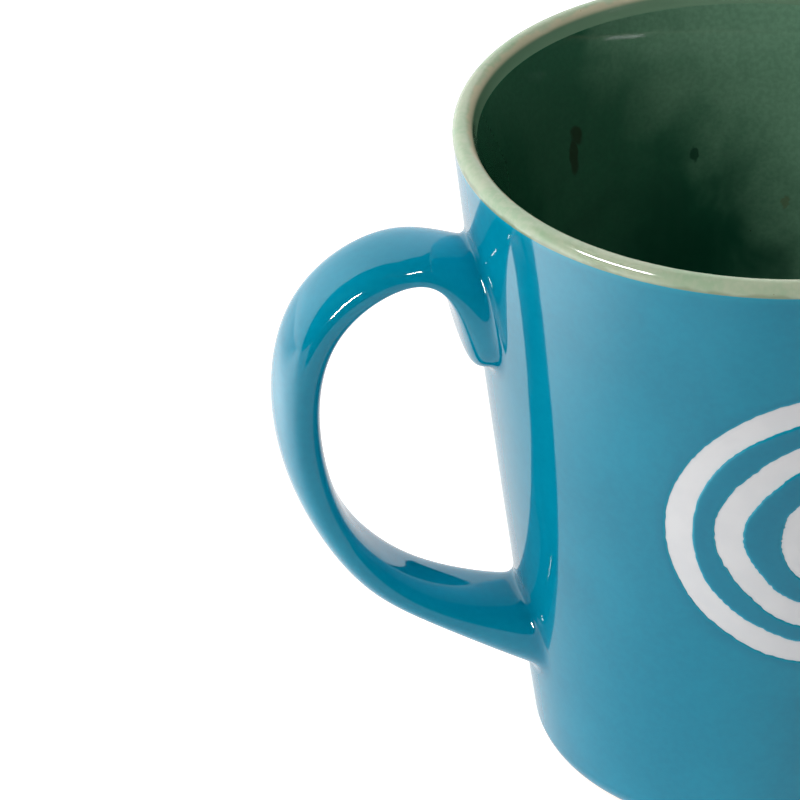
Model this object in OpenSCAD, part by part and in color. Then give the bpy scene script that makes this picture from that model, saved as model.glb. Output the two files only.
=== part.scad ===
// Glazed stoneware mug: a tapered clay cup with a strap handle luted on with slip,
// a teal glaze outside, a green glaze inside, a pale lip and hand-drawn white slip rings.
// The mug stands on Z = 0 with its axis on Z. The handle points to -X and the rings face -Y.

/* [Cup] */
// Outer radius at the lip
lip_r = 46; // [40:0.5:52]
// Outer radius that the straight wall would have at the table
foot_r = 32; // [28:0.5:36]
// Overall height
cup_h = 104; // [96:1:112]
// How far the wall bulges beyond a straight taper
bulge = 0.35; // [0:0.05:1]
// Wall thickness at the lip
lip_t = 3.1; // [2.6:0.1:4]
// Wall thickness just above the floor
low_wall_t = 4.2; // [3.4:0.1:5.5]
// Radius that rounds the wall into the foot
foot_round = 4.5; // [3:0.5:6]
// Radius inside, between wall and floor
floor_round = 8; // [5:0.5:12]
// Thickness of the clay floor
floor_t = 4.5; // [3:0.5:6]

/* [Foot ring] */
// Width of the unglazed ring that the mug stands on
ring_w = 3.6; // [2.5:0.1:6]
// Depth of the turned recess inside that ring
recess_d = 1.8; // [1:0.1:3]
// Height above the table where the outer glaze stops
glaze_line = 1; // [0.6:0.1:2]

/* [Handle] */
// Half width of the strap at its upper end, on the wall
strap_top = 9; // [7:0.5:10]
// Half width of the strap at the upper bend
strap_bend = 6.8; // [5:0.2:8]
// Half width of the strap at the lower bend
strap_low = 6.6; // [5:0.2:8]
// Half width of the strap at its lower end, on the wall
strap_foot = 8.2; // [6:0.2:10]
// Roundness of the strap's outer face: 2 is an ellipse, more is squarer
outer_round = 2.2; // [2:0.1:3]
// Roundness of the strap's inner face
inner_round = 2.8; // [2:0.1:4]

/* [Glaze and slip] */
// Thickness of each glaze coat
glaze_t = 0.5; // [0.3:0.05:0.7]
// Height of the pale lip band below the top
lip_band = 2; // [1.8:0.1:4]
// Thickness of the white slip
white_t = 0.35; // [0.2:0.05:0.5]
// Thickness of the luting slip between strap and wall
joint_t = 1; // [0.6:0.1:1.5]

/* [Rings] */
// Height of the rings' centre above the table
motif_z = 60; // [54:1:62]
// Radius of the dot at the centre
dot_r = 2.4; // [1.5:0.1:3]
// Width of each drawn line
line_w = 3.7; // [2.5:0.1:4]
// Gap between two drawn lines
line_gap = 3.7; // [3:0.1:4]

/* [Hidden] */

$fn = 240;
clay = "#cdbb9e";
teal = "#2a8fab";
green = "#3f7a5b";
celadon = "#a9bd9c";
white = "#f1f2f0";

wall_steps = 10;    // straight bands in the wall's height
arc_steps = 8;      // straight bands in each rounded corner
strap_steps = 44;   // sections along the handle
strap_sides = 20;   // corners of one section
big = 200;

lip_half = lip_t / 2;
lip_z = cup_h - lip_half;
floor_z = recess_d + floor_t;
taper = atan((lip_r - foot_r) / lip_z);
foot_top = foot_round * (1 - sin(taper));
round_top = floor_z + floor_round * (1 - sin(taper));

// Outer radius of the finished wall at a height.
function outer_r(z) = let (u = z / lip_z) foot_r + (lip_r - foot_r) * u + 4 * bulge * u * (1 - u);

// Inner radius of the finished wall at a height.
function inner_r(z) = outer_r(z) - lip_t - (low_wall_t - lip_t) * (1 - z / lip_z);

// Centres of the two corner arcs, outside and inside.
foot_c = outer_r(foot_top) - foot_round * cos(taper);
round_c = inner_r(round_top) - floor_round * cos(taper);

// Points of an arc from the wall down to the horizontal, in order from the horizontal upwards.
function corner(cx, cz, r) =
    [for (i = [0:arc_steps]) let (a = -90 + (90 - taper) * i / arc_steps) [cx + r * cos(a), cz + r * sin(a)]];

// Heights of the wall's bands between two limits.
function rise(z0, z1) = [for (i = [1:wall_steps]) z0 + (z1 - z0) * i / wall_steps];

// The outside from the table to the lip band's lower edge, moved inwards by "inset".
function outside(inset) = concat(
    [for (p = corner(foot_c, foot_round, foot_round)) [p[0] - inset, p[1]]],
    [for (z = rise(foot_top, cup_h - lip_band)) [outer_r(z) - inset, z]]);

// The inside from the floor's edge to the lip, moved into the clay by "inset".
function inside(inset) = concat(
    corner(round_c, floor_z + floor_round, floor_round + inset),
    [for (z = rise(round_top, lip_z)) [inner_r(z) + inset, z]]);

// The lip's half circle, from the outside over the top to the inside.
function lip(inset) = [for (i = [0:2 * arc_steps]) let (a = 180 * i / (2 * arc_steps))
    [lip_r - lip_half + (lip_half - inset) * cos(a), lip_z + (lip_half - inset) * sin(a)]];

// Points of a list that lie above a height.
function above(points, z) = [for (p = points) if (p[1] > z) p];
function flipped(points) = [for (i = [len(points) - 1:-1:0]) points[i]];

// The cup as one solid without its hollow, moved inwards by "inset".
module cup_solid(inset) {
    rotate_extrude()
        polygon(concat([[0, 0]], outside(inset), lip(inset), [[0, cup_h - inset]]));
}

// A skin on the outside of the wall between two insets.
module wall_skin(inset_out, inset_in, from_z) {
    start_out = [foot_edge(from_z) - inset_out, from_z];
    start_in = [foot_edge(from_z) - inset_in, from_z];
    rotate_extrude()
        polygon(concat([start_out], above(outside(inset_out), from_z),
            flipped(above(outside(inset_in), from_z)), [start_in]));
}

// Outer radius on the foot's rounding at a height.
function foot_edge(z) = foot_c + sqrt(pow(foot_round, 2) - pow(foot_round - z, 2));

// ---- Handle ----

// The strap's outer edge and inner edge in its own plane: distance from the axis, height.
strap_outside = [[41, 88], [43, 89], [52, 91], [63, 88.5], [71, 80], [73.5, 66.5], [70.5, 51],
    [62.5, 36.5], [52.5, 28], [40, 20], [33, 16]];
strap_inside = [[42.5, 71], [45.5, 73], [49, 84], [56, 85.5], [64, 78.5], [67, 65.5], [64.5, 50.5],
    [58.5, 40], [49, 32.5], [38.5, 29], [35, 29]];
strap_widths = [strap_top, strap_bend, strap_low, strap_foot];

// A smooth curve through a list of points, at a place from 0 to 1 along the list.
function smooth(points, place) =
    let (
        last = len(points) - 1,
        i = min(floor(place * last), last - 1),
        t = place * last - i,
        p1 = points[i],
        p2 = points[i + 1],
        p0 = i > 0 ? points[i - 1] : 2 * p1 - p2,
        p3 = i + 2 <= last ? points[i + 2] : 2 * p2 - p1
    )
    0.5 * (2 * p1 + (p2 - p0) * t + (2 * p0 - 5 * p1 + 4 * p2 - p3) * pow(t, 2)
        + (3 * p1 - p0 - 3 * p2 + p3) * pow(t, 3));

// Distance from the centre of a unit section to its edge, in a direction.
function section_r(angle) =
    let (k = cos(angle) >= 0 ? outer_round : inner_round)
    pow(pow(abs(cos(angle)), k) + pow(abs(sin(angle)), k), -1 / k);

// One section of the strap as points in space.
function section(place, inset) =
    let (
        far = smooth(strap_outside, place),
        near = smooth(strap_inside, place),
        middle = (far + near) / 2,
        half = norm(far - near) / 2,
        out = (far - near) / (2 * half),
        wide = smooth(strap_widths, place) - inset
    )
    [for (i = [0:strap_sides - 1])
        let (
            a = 360 * i / strap_sides,
            r = section_r(a),
            p = middle + out * (half - inset) * r * cos(a)
        )
        [-p[0], wide * r * sin(a), p[1]]];

// Triangles between neighbouring sections, from the first point's number onwards.
function strap_skin(first) = [for (s = [0:strap_steps - 1], i = [0:strap_sides - 1])
    let (a = first + s * strap_sides + i, b = first + s * strap_sides + (i + 1) % strap_sides)
    each [[a, a + strap_sides, b], [b, a + strap_sides, b + strap_sides]]];

function strap_points(inset) = [for (s = [0:strap_steps]) each section(s / strap_steps, inset)];
function turned_over(faces) = [for (f = faces) flipped(f)];

// The swept strap, running into the wall at both ends, made thinner all round by "inset".
module strap(inset) {
    start = [for (i = [0:strap_sides - 1]) i];
    end = [for (i = [strap_sides - 1:-1:0]) strap_steps * strap_sides + i];
    polyhedron(strap_points(inset), concat([start], strap_skin(0), [end]));
}

// The space between the strap's surface and the same strap made thinner by "inset".
module strap_coat(inset) {
    inner = (strap_steps + 1) * strap_sides;
    last = strap_steps * strap_sides;
    ends = [for (i = [0:strap_sides - 1])
        let (j = (i + 1) % strap_sides)
        each [[i, j, inner + i], [j, inner + j, inner + i],
            [last + i, last + inner + i, last + j], [last + j, last + inner + i, last + inner + j]]];
    polyhedron(concat(strap_points(0), strap_points(inset)),
        concat(strap_skin(0), turned_over(strap_skin(inner)), ends));
}

// Everything above, or below, the middle of the cup.
module half_space(upper) {
    translate([-big / 2, -big / 2, upper ? cup_h / 2 : cup_h / 2 - big])
        cube([big, big, big]);
}

module joint_slip(upper) {
    color(clay)
        intersection() {
            difference() {
                intersection() {
                    strap(glaze_t);
                    cup_solid(glaze_t - joint_t);
                }
                cup_solid(glaze_t);
            }
            half_space(upper);
        }
}

// ---- Rings ----

function ring_inner_r(i) = dot_r + line_gap + i * (line_w + line_gap);

// A pencil of space through the wall, square to it, from the motif's centre outwards.
module motif_rod(r) {
    translate([0, 0, motif_z])
        rotate([90 + taper, 0, 0])
            cylinder(h = big / 2, r = r);
}

module motif_line(i) {
    difference() {
        motif_rod(ring_inner_r(i) + line_w);
        motif_rod(ring_inner_r(i));
    }
}

module white_line(i) {
    color(white)
        intersection() {
            wall_skin(glaze_t - white_t, glaze_t, glaze_line);
            motif_line(i);
        }
}

// ---- Nodes ----

module cup_body() {
    ring_inside = foot_c - glaze_t - ring_w;
    color(clay)
        rotate_extrude()
            polygon(concat([[ring_inside, 0]], outside(glaze_t), lip(glaze_t),
                flipped(inside(glaze_t)), [[0, floor_z - glaze_t], [0, recess_d],
                [ring_inside - recess_d, recess_d]]));
}

module handle() {
    color(clay)
        difference() {
            strap(glaze_t);
            cup_solid(glaze_t - joint_t);
        }
}

module upper_joint_slip() { joint_slip(true); }

module lower_joint_slip() { joint_slip(false); }

module outer_glaze() {
    color(teal)
        difference() {
            wall_skin(0, glaze_t, glaze_line);
            strap(0);
            motif_rod(dot_r);
            for (i = [0:2]) motif_line(i);
        }
}

module handle_glaze() {
    color(teal)
        difference() {
            strap_coat(glaze_t);
            cup_solid(glaze_t);
        }
}

module liner_glaze() {
    color(green)
        rotate_extrude()
            polygon(concat([[0, floor_z]], inside(0), flipped(inside(glaze_t)), [[0, floor_z - glaze_t]]));
}

module rim_glaze() {
    z = cup_h - lip_band;
    color(celadon)
        rotate_extrude()
            polygon(concat([[outer_r(z), z]], lip(0), flipped(lip(glaze_t)), [[outer_r(z) - glaze_t, z]]));
}

module foot_glaze() {
    r = foot_c - glaze_t - ring_w - recess_d;
    color(teal)
        translate([0, 0, recess_d - glaze_t])
            cylinder(h = glaze_t, r = r - glaze_t);
}

module ring_outer() { white_line(2); }

module ring_middle() { white_line(1); }

module ring_inner() { white_line(0); }

module ring_dot() {
    color(white)
        intersection() {
            wall_skin(glaze_t - white_t, glaze_t, glaze_line);
            motif_rod(dot_r);
        }
}

cup_body();
handle();
upper_joint_slip();
lower_joint_slip();
outer_glaze();
handle_glaze();
liner_glaze();
rim_glaze();
foot_glaze();
ring_outer();
ring_middle();
ring_inner();
ring_dot();
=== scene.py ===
from functools import reduce

import bpy
import numpy as np
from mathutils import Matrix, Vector


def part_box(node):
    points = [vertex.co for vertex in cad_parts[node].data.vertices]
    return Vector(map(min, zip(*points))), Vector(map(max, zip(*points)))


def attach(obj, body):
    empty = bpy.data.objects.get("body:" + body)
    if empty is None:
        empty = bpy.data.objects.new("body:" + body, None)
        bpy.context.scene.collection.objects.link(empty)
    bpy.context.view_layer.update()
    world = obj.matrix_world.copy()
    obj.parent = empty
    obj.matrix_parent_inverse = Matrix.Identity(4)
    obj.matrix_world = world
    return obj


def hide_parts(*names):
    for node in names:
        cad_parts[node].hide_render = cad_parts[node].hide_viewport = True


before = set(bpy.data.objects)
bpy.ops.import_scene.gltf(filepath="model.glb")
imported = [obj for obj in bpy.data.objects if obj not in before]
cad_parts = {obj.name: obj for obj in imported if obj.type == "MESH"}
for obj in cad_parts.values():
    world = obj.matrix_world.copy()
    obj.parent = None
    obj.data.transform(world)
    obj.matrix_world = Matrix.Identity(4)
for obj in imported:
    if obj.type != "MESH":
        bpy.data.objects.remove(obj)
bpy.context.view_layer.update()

# Sizes below are in millimetres, as in the design. new_piece turns them into metres.
MM = 0.001

# ---- The cup's sizes, as in the design ----

LIP_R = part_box("rim_glaze")[1].x / MM
CUP_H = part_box("rim_glaze")[1].z / MM
BAND_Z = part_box("rim_glaze")[0].z / MM
GLAZE_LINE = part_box("outer_glaze")[0].z / MM
FOOT_R = 32.0
BULGE = 0.35
LIP_T = 3.1
LOW_WALL_T = 4.2
FOOT_ROUND = 4.5
FLOOR_ROUND = 8.0
FLOOR_T = 4.5
RING_W = 3.6
RECESS_D = 1.8
GLAZE_T = 0.5

FLARE = 1.6          # how much thicker the wall is where the lip begins to flare
FLARE_Z = 90.5
SWELL_Z = 50.0       # where the wall begins to thicken towards the flare

LIP_HALF = LIP_T / 2
LIP_Z = CUP_H - LIP_HALF
LINER_TOP = LIP_Z - 1.2      # where the lip's pale coat meets the green one inside
FLOOR_Z = RECESS_D + FLOOR_T
TAPER = np.arctan((LIP_R - FOOT_R) / LIP_Z)
FOOT_TOP = FOOT_ROUND * (1 - np.sin(TAPER))
ROUND_TOP = FLOOR_Z + FLOOR_ROUND * (1 - np.sin(TAPER))
UP = np.array([0.0, 0.0, 1.0])
SHARP_ANGLE = np.radians(50)


def outer_r(z):
    """The wall's outer radius at a height."""
    u = z / LIP_Z
    return FOOT_R + (LIP_R - FOOT_R) * u + 4 * BULGE * u * (1 - u)


def outer_slope(z):
    """How fast the wall's outer radius grows with height."""
    return (LIP_R - FOOT_R + 4 * BULGE * (1 - 2 * z / LIP_Z)) / LIP_Z


def inner_r(z):
    """The wall's inner radius at a height: the wall thickens upwards, and then flares out into the lip."""
    flare = np.clip((z - FLARE_Z) / (LIP_Z - FLARE_Z), 0, 1) ** 2
    swell = np.clip((z - SWELL_Z) / (FLARE_Z - SWELL_Z), 0, 1)
    swell = swell ** 2 * (3 - 2 * swell)
    return outer_r(z) - LIP_T - (LOW_WALL_T - LIP_T) * (1 - z / LIP_Z) - FLARE * swell * (1 - flare)


FOOT_C = outer_r(FOOT_TOP) - FOOT_ROUND * np.cos(TAPER)
ROUND_C = inner_r(ROUND_TOP) - FLOOR_ROUND * np.cos(TAPER)

# ---- The handle's edges, as in part.scad: distance from the axis, height ----

# A fitting script found these points from the photograph, all but the last one of the first list.
STRAP_OUTSIDE = [(41, 88), (43, 89), (52, 91), (63, 88.5), (71, 80), (73.5, 66.5), (70.5, 51),
                 (62.5, 36.5), (52.5, 28), (40, 20), (33, 16)]
STRAP_INSIDE = [(42.5, 71), (45.5, 73), (49, 84), (56, 85.5), (64, 78.5), (67, 65.5), (64.5, 50.5),
                (58.5, 40), (49, 32.5), (38.5, 29), (35, 29)]
STRAP_HALF_WIDTHS = [9, 6.8, 6.6, 8.2]
OUTER_ROUND = 2.2
INNER_ROUND = 2.8
FILLET = 2.4         # how far from the wall the glaze begins to fill the corner under the strap
SEAM_DROP = 0.008    # how far the fillet's edge runs in under the wall's glaze
ROOT_DEPTH = 1.2     # how far the handle's glaze piece reaches into the wall
NET_STEP = 0.4       # spacing of the handle's mesh
MAP_LOW = np.array([28, 8])      # the part of the handle's plane that the coarse maps cover, in millimetres
MAP_HIGH = np.array([82, 100])
NEWTON_STEPS = 6
LONGEST_STEP = 0.02  # of the rail's length, in one Newton step

# ---- The rings ----

MOTIF_Z = 60.0
MOTIF_ARC_R = outer_r(MOTIF_Z)
DOT_R = 2.4
# The white lines wander, as painted ones do: the radii of their edges from the outermost in, every 30 degrees
# anticlockwise from the right. The left half follows what a script measured in the photograph, and the right
# half, which the photograph cuts off, is a guess.
DRAWN_EDGES = [
    [24.6, 24.8, 24.9, 25.1, 24.5, 24.2, 24.8, 24.9, 24.5, 24.8, 24.6, 24.4],
    [20.9, 20.8, 21.0, 21.1, 20.6, 20.6, 20.8, 21.1, 20.6, 21.3, 21.0, 20.8],
    [17.2, 17.0, 17.2, 17.2, 16.7, 16.6, 17.6, 17.0, 17.5, 18.0, 17.4, 17.1],
    [13.4, 13.3, 13.4, 13.3, 12.8, 12.5, 13.5, 13.2, 13.7, 13.9, 13.5, 13.3],
    [8.9, 8.7, 8.4, 8.1, 7.9, 7.8, 7.9, 8.6, 9.7, 10.1, 9.8, 9.3],
    [5.4, 5.2, 4.9, 4.6, 4.5, 4.4, 4.5, 5.1, 6.0, 6.5, 6.2, 5.8]]
PATCH_ANGLE = 40     # half the width of the finely meshed patch around the rings, in whole degrees
PATCH_HALF_H = 28.0
PATCH_ROWS = 50
EDGE_W = 0.6         # width over which the teal glaze rounds down to a white line
EDGE_DROP = 0.2
WHITE_DEPTH = 0.17   # how far the white lines lie below the teal glaze
TUCK = 0.12          # how far a white line runs in under the teal glaze


# ---- Mesh tools ----

def new_piece(name, points, face_groups, replaced, look, normals=None, marks=None):
    """Makes a piece from points in millimetres. Each group holds faces with the same number of corners."""
    mesh = bpy.data.meshes.new(name)
    faces = [face for group in face_groups for face in np.asarray(group).tolist()]
    mesh.from_pydata((shaped_by_hand(points) * MM).tolist(), [], faces)
    mesh.polygons.foreach_set("use_smooth", [True] * len(mesh.polygons))
    if normals is None:
        mesh.set_sharp_from_angle(angle=SHARP_ANGLE)
    else:
        mesh.normals_split_custom_set_from_vertices(normals.tolist())
    for mark, values in (marks or {}).items():
        attribute = mesh.attributes.new(mark, "FLOAT", "POINT")
        attribute.data.foreach_set("value", np.asarray(values, np.float32))
    mesh.materials.append(look)
    piece = bpy.data.objects.new(name, mesh)
    bpy.context.scene.collection.objects.link(piece)
    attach(piece, "root")
    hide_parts(*replaced)


def shaped_by_hand(points):
    """The slight oval and the uneven height that a cup gets from the hand, growing towards the lip."""
    angle = np.arctan2(points[:, 0], -points[:, 1])
    share = np.clip(points[:, 2] / CUP_H, 0, 1) ** 2
    oval = 1 + 0.003 * share * np.cos(2 * angle + 0.6)
    rise = 0.12 * share * np.cos(3 * angle + 1.1)
    return np.column_stack([points[:, 0] * oval, points[:, 1] * oval, points[:, 2] + rise])


def faces_between(index, wrap=True):
    """Faces between neighbouring rows of numbered points. With wrap, each row is a closed ring."""
    following = np.roll(index, -1, axis=1)
    faces = np.stack([index[:-1], following[:-1], following[1:], index[1:]], axis=-1)
    return (faces if wrap else faces[:, :-1]).reshape(-1, 4)


def sheet_faces(rows, columns, wrap=True):
    """Faces of a sheet of points whose rows are numbered one after another."""
    return faces_between(np.arange(rows * columns).reshape(rows, columns), wrap)


def closed_coat(points, back, normals, face_groups):
    """Closes a surface and its back into a thin solid, and gives the points, normals and faces of it."""
    count = len(points)
    starts = np.concatenate([group.ravel() for group in face_groups])
    ends = np.concatenate([np.roll(group, -1, axis=1).ravel() for group in face_groups])
    free = ~np.isin(starts * count + ends, ends * count + starts)
    rim = np.stack([ends[free], starts[free], starts[free] + count, ends[free] + count], axis=-1)
    behind = [group[:, ::-1] + count for group in face_groups]
    return (np.vstack([points, back]), np.vstack([normals, -normals]), list(face_groups) + behind + [rim])


def outward(angle):
    """Level directions away from the cup's axis. The angle is 0 in front, on -Y, and grows towards +X."""
    return np.stack([np.sin(angle), -np.cos(angle), np.zeros_like(angle)], axis=-1)


def turned(outline, columns):
    """The points of an outline, given as radius and height, each turned into a ring round the cup's axis."""
    angle = np.arange(columns) * 2 * np.pi / columns
    return (outline[:, :1, None] * outward(angle) + outline[:, 1:, None] * UP).reshape(-1, 3)


def turned_ring(outline, columns):
    """Points and faces of a closed outline turned round the cup's axis."""
    index = np.arange(len(outline) * columns).reshape(-1, columns)
    return turned(outline, columns), [faces_between(np.vstack([index, index[:1]]))]


def turned_solid(outline, columns):
    """Points and faces of an outline turned round the cup's axis. It starts and ends on the axis."""
    points = turned(outline[1:-1], columns)
    count = len(points)
    index = np.arange(count).reshape(-1, columns)
    following = np.roll(index, -1, axis=1)
    first_fan = np.stack([np.full(columns, count), following[0], index[0]], axis=-1)
    last_fan = np.stack([index[-1], following[-1], np.full(columns, count + 1)], axis=-1)
    ends = [(0, 0, outline[0, 1]), (0, 0, outline[-1, 1])]
    return np.vstack([points, ends]), [faces_between(index), first_fan, last_fan]


def arc(centre, radius, start, end, steps):
    """Points on an arc between two angles in radians, in the plane of the cup's outline."""
    angle = np.linspace(start, end, steps + 1)
    return np.column_stack([centre[0] + radius * np.cos(angle), centre[1] + radius * np.sin(angle)])


def wave(angle, orders, size, seed):
    """An uneven closed line: a sum of waves of given orders round the circle, with a fixed seed."""
    draw = np.random.default_rng(seed)
    total = np.zeros_like(angle)
    for order in orders:
        total += draw.normal() * np.cos(order * angle + draw.uniform(0, 2 * np.pi))
    return size * total / np.sqrt(len(orders) / 2)


# ---- Materials ----

class Nodes:
    """The nodes of a material or of the world, with short ways to add them. Values are numbers or sockets."""

    def __init__(self, tree):
        self.tree = tree

    def set(self, socket, value):
        if isinstance(value, bpy.types.NodeSocket):
            self.tree.links.new(value, socket)
        else:
            socket.default_value = value

    def new(self, kind, **inputs):
        """A node of a kind, with its inputs set. An input's name has underscores for its spaces."""
        node = self.tree.nodes.new("ShaderNode" + kind)
        for name, value in inputs.items():
            self.set(node.inputs[name.replace("_", " ")], value)
        return node

    def math(self, operation, a, b=0.0):
        node = self.new("Math")
        node.operation = operation
        self.set(node.inputs[0], a)
        self.set(node.inputs[1], b)
        return node.outputs[0]

    def times(self, a, b):
        return self.math("MULTIPLY", a, b)

    def plus(self, a, b):
        return self.math("ADD", a, b)

    def minus(self, a, b):
        return self.math("SUBTRACT", a, b)

    def length(self, *sides):
        """The length of a line from its sides along the axes."""
        return self.math("SQRT", reduce(self.plus, [self.times(side, side) for side in sides]))

    def band(self, value, low, high, to_low=0.0, to_high=1.0):
        """A value stretched so that low becomes to_low and high becomes to_high, and held beyond them."""
        node = self.new("MapRange", Value=value, From_Min=low, From_Max=high, To_Min=to_low, To_Max=to_high)
        node.interpolation_type = "SMOOTHSTEP"
        return node.outputs["Result"]


class Look(Nodes):
    """A material's nodes. Textures lie in the object's own space, and sizes are in millimetres."""

    def __init__(self, name, roughness):
        self.material = bpy.data.materials.new(name)
        self.material.use_nodes = True
        super().__init__(self.material.node_tree)
        self.surface = self.tree.nodes["Principled BSDF"]
        self.surface.inputs["Roughness"].default_value = roughness
        self.surface.inputs["IOR"].default_value = 1.5
        self.place = self.new("TexCoord").outputs["Object"]

    def noise(self, size, detail=2.0, stretch=(1, 1, 1), twist=0.0):
        """Even noise from 0 to 1 whose lumps are about size millimetres."""
        mapping = self.new("Mapping", Vector=self.place, Scale=[1 / (MM * size * s) for s in stretch])
        node = self.new("TexNoise", Vector=mapping.outputs["Vector"], Scale=1, Detail=detail, Roughness=0.5,
                        Distortion=twist)
        return node.outputs[0]

    def dots(self, spacing, radius, share):
        """1 in round spots of about a radius, scattered at a spacing. share is how many places hold one."""
        cells = self.new("TexVoronoi", Vector=self.place, Scale=1 / (MM * spacing))
        near = self.band(cells.outputs["Distance"], radius / spacing, radius / spacing / 2)
        split = self.new("SeparateColor", Color=cells.outputs["Color"])
        chosen = self.math("LESS_THAN", split.outputs["Red"], share)
        return self.times(near, chosen)

    def mix(self, share, a, b):
        """One colour laid over another, by a share from 0 to 1."""
        node = self.tree.nodes.new("ShaderNodeMix")
        node.data_type = "RGBA"
        self.set(node.inputs["Factor"], share)
        for socket, colour in zip(node.inputs[6:8], (a, b)):   # the two colour sockets
            self.set(socket, (*colour, 1) if isinstance(colour, tuple) else colour)
        return node.outputs[2]

    def tint(self, body, share, strength, colour):
        """A colour laid over body where share is high, at a strength."""
        return self.mix(self.times(share, strength), body, colour)

    def axis(self, name):
        """One of the coordinates X, Y and Z in millimetres. Z is the height above the table."""
        return self.times(self.new("SeparateXYZ", Vector=self.place).outputs[name], 1 / MM)

    def blot(self, azimuth, height, radius, tall, lumps):
        """1 in one uneven mark on the wall's inside. It is radius wide, and tall times as tall."""
        centre = inner_r(height) * outward(np.radians(azimuth)) + height * UP
        gaps = [self.math("DIVIDE", self.minus(self.axis(name), at), radius * stretch)
                for name, at, stretch in zip("XYZ", centre, (1, 1, tall))]
        wander = self.band(self.noise(lumps), 0.25, 0.75, -0.35, 0.35)
        return self.band(self.plus(self.length(*gaps), wander), 1.15, 0.7)

    def mark(self, name):
        """A value that build functions store at the mesh's points."""
        node = self.tree.nodes.new("ShaderNodeAttribute")
        node.attribute_name = name
        return node.outputs["Fac"]

    def colour(self, value):
        self.set(self.surface.inputs["Base Color"], value)

    def shine(self, strength):
        """Makes the surface give white light of its own."""
        self.surface.inputs["Emission Color"].default_value = (1, 1, 1, 1)
        self.set(self.surface.inputs["Emission Strength"], strength)

    def bump(self, *layers):
        """Bumps from pairs of a height from 0 to 1 and the height of a whole step in millimetres."""
        normal = None
        for value, size in layers:
            node = self.new("Bump", Strength=1, Distance=size * MM, Height=value)
            if normal:
                self.tree.links.new(normal, node.inputs["Normal"])
            normal = node.outputs["Normal"]
        self.tree.links.new(normal, self.surface.inputs["Normal"])


TEAL = (0.0, 0.245, 0.375)
DEEP_TEAL = (0.0, 0.222, 0.345)
BRIGHT_TEAL = (0.005, 0.36, 0.50)
FLOOR_GLOW = 0.6     # painted light: the floor's own glow, so that it is as white as the paper of a bright studio


def teal_glaze():
    look = Look("teal_glaze", 0.05)
    cloud = look.band(look.noise(16, detail=3), 0.35, 0.65)
    body = look.mix(cloud, TEAL, DEEP_TEAL)
    grain = look.band(look.noise(1.1), 0.3, 0.7)
    body = look.tint(body, grain, 0.12, BRIGHT_TEAL)
    body = look.mix(look.mark("thin"), body, BRIGHT_TEAL)
    body = look.tint(body, look.mark("pooled"), 0.55, (0.0, 0.12, 0.23))
    pits = look.dots(17, 0.22, share=0.5)
    body = look.tint(body, pits, 0.8, (0.0, 0.05, 0.09))
    flecks = look.dots(29, 0.25, share=0.4)
    body = look.tint(body, flecks, 0.7, (0.25, 0.5, 0.5))
    look.colour(body)
    look.bump((look.noise(8, detail=1), 0.02), (look.noise(1.6, detail=1), 0.0008), (pits, -0.05))
    return look.material


def green_glaze():
    look = Look("green_glaze", 0.06)
    # Painted light and shade: the inside is pale near the top and on the side away from the handle, and dark
    # deep down and by the handle.
    cloud = look.band(look.noise(15, detail=3, twist=0.4), 0.3, 0.7, -9, 9)
    painted_shade_height = look.plus(look.axis("Z"), cloud)
    # Painted light: the value grows towards +X, the side away from the handle, so that side comes out paler.
    painted_light_level = look.plus(painted_shade_height, look.times(look.axis("X"), 1.5))
    body = look.mix(look.band(painted_shade_height, 45, 85), (0.004, 0.062, 0.032), (0.03, 0.155, 0.083))
    body = look.mix(look.band(painted_light_level, 64, 99), body, (0.19, 0.38, 0.245))
    streaks = look.band(look.noise(2.2, detail=3, stretch=(1, 1, 7)), 0.4, 0.75)
    body = look.tint(body, streaks, look.band(painted_light_level, 50, 100, 0.03, 0.2), (0.12, 0.27, 0.17))
    speckle = look.band(look.noise(0.7, detail=3), 0.3, 0.7)
    body = look.tint(body, speckle, 0.2, (0.012, 0.085, 0.045))
    brown = look.dots(7, 0.25, share=0.3)
    body = look.tint(body, brown, 0.7, (0.02, 0.035, 0.015))
    # Three marks: a dark run with a round head, a drip, and a spot that the glaze left almost bare.
    run = look.math("MAXIMUM", look.blot(-147.6, 83.2, 1.0, 3.4, 6), look.blot(-149, 86.2, 1.3, 1.3, 4))
    body = look.tint(body, run, 0.85, (0.022, 0.03, 0.01))
    drip = look.blot(-179.6, 78, 0.7, 1.8, 1.5)
    body = look.tint(body, drip, 0.7, (0.0, 0.04, 0.02))
    bare = look.blot(159, 69.7, 0.7, 1.4, 1.0)
    body = look.tint(body, bare, 0.6, (0.13, 0.17, 0.08))
    look.colour(body)
    look.bump((look.noise(7, detail=1), 0.03), (look.noise(1.6, detail=1), 0.002))
    return look.material


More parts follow.
